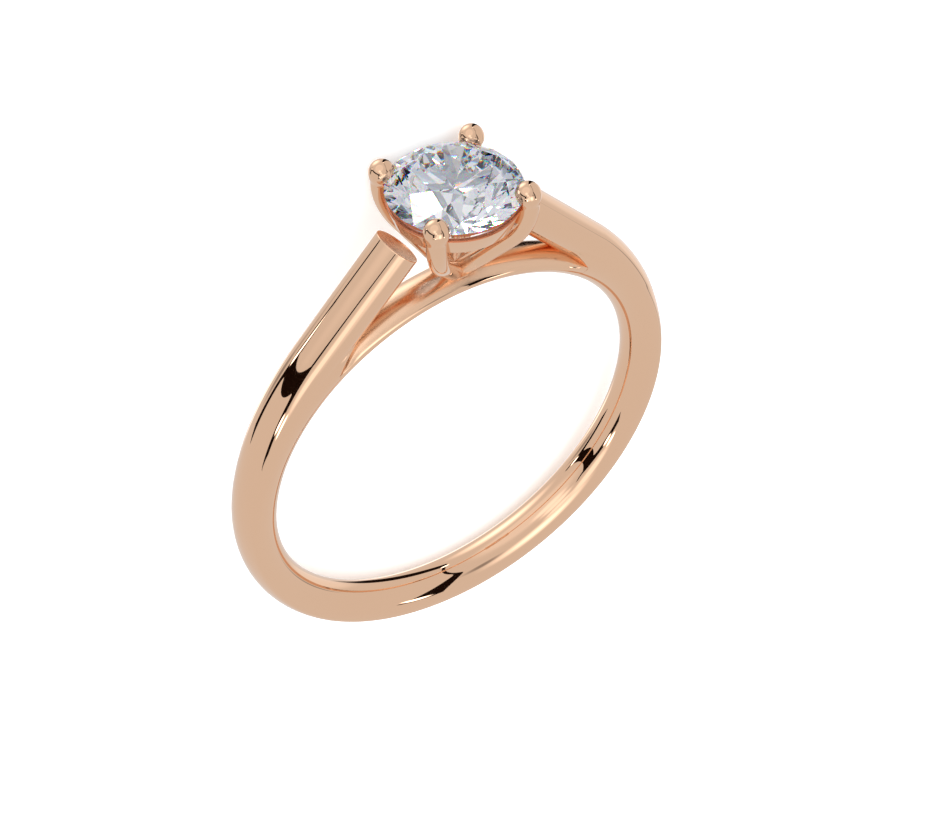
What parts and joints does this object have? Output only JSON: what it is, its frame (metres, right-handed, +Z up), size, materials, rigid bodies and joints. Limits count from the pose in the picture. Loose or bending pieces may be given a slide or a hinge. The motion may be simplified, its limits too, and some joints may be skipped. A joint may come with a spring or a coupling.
{
  "type": "solitaire ring with a claw-set round stone",
  "caption": "Solitaire ring: a round brilliant held by claws over a gallery rail, on a domed band with cathedral shoulders and a bridge.",
  "frame": {"origin": "on the surface that the ring lies on, below the middle of its box", "axes": "+Z up from that surface, -Y from the finger hole to the stone, X across the band; the finger's axis leans 3.9 degrees from +Z towards +Y"},
  "size_m": [0.0198, 0.0238, 0.005],
  "materials": {
    "rose_gold": "polished",
    "stone": "cut and polished"
  },
  "bodies": {
    "root": {"ring_body": "rose_gold", "stone": "stone"}
  },
  "joints": []
}
